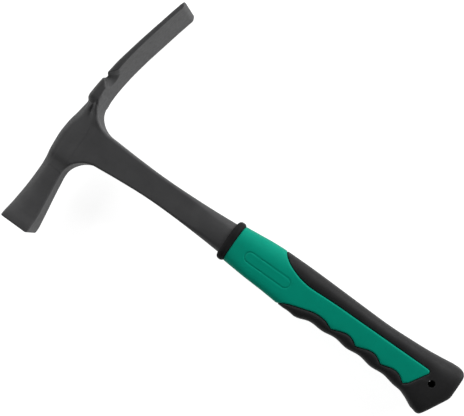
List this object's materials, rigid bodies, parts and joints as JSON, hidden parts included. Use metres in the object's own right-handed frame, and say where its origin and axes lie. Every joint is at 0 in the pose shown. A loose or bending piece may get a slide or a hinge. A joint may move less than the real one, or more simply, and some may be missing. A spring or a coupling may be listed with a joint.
{
  "type": "rock hammer",
  "caption": "One-piece forged rock hammer with a square poll, a wide drooping chisel blade with a nail notch, and a moulded two-colour grip with a lanyard hole.",
  "frame": {"origin": "middle of the hammer's length and of the head's length, level with the lowest edge of the blade when the hammer lies on its side", "axes": "+X along the handle from the head to the butt, +Y to the chisel tip, +Z out of the side with the nail notch"},
  "size_m": [0.329, 0.198, 0.044],
  "materials": {
    "black_steel": "forged steel with a satin black oxide finish",
    "core_nylon": "rigid black glass-filled nylon",
    "collar_rubber": "smooth black rubber",
    "green_rubber": "satin green moulded rubber",
    "black_rubber": "matte black moulded rubber"
  },
  "bodies": {
    "root": {"hammer_forging": "black_steel", "grip_core": "core_nylon", "front_collar": "collar_rubber", "green_sleeve": "green_rubber", "black_overmould": "black_rubber"}
  },
  "joints": []
}
